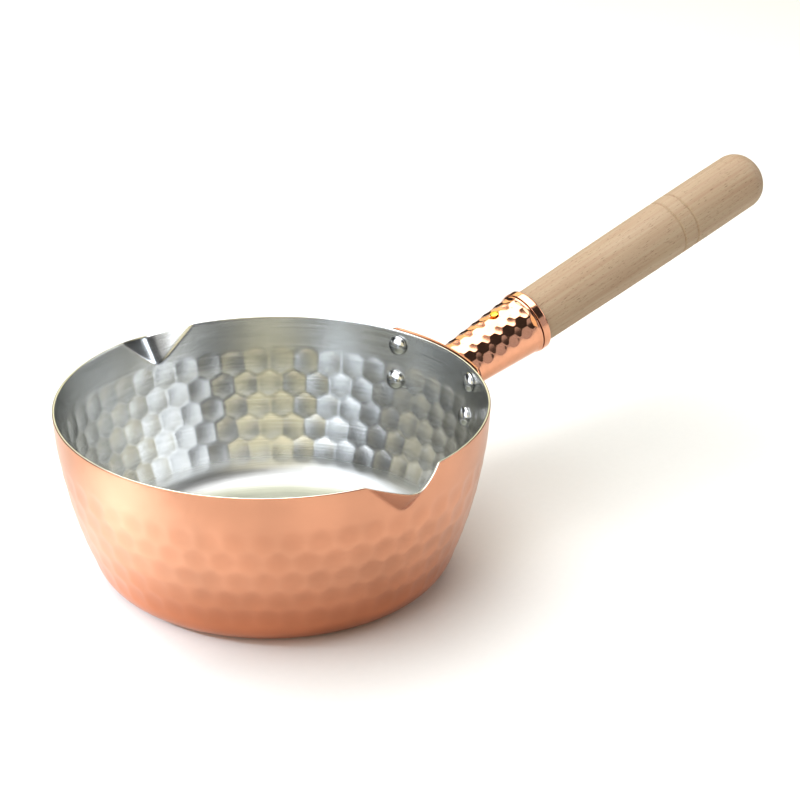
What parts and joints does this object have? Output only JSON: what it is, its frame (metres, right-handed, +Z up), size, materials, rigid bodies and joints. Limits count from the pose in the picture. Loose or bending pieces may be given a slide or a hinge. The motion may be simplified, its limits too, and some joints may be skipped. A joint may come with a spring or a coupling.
{
  "type": "copper saucepan",
  "caption": "Round copper saucepan, tin lined and hammered, with pouring spouts on both sides and a turned wooden handle in a riveted copper socket.",
  "frame": {"origin": "centre of the base's underside, on the pan's axis", "axes": "+X along the handle seen from above, +Z up through the mouth, the pouring spouts at -Y and +Y"},
  "size_m": [0.3698, 0.1976, 0.1274],
  "materials": {
    "satin_copper": "spun copper, hammered and satin brushed outside, tin lined inside",
    "polished_copper": "copper, hammered and mirror polished",
    "rivet_steel": "polished stainless steel",
    "screw_brass": "polished yellow brass",
    "beech": "turned and sanded beech, unvarnished"
  },
  "bodies": {
    "root": {"pan_body": "satin_copper", "handle_bracket": "polished_copper", "handle_socket": "polished_copper", "socket_collar": "polished_copper", "rivet_left_upper": "rivet_steel", "rivet_left_lower": "rivet_steel", "rivet_right_upper": "rivet_steel", "rivet_right_lower": "rivet_steel", "wooden_handle": "beech", "handle_screw": "screw_brass"}
  },
  "joints": []
}
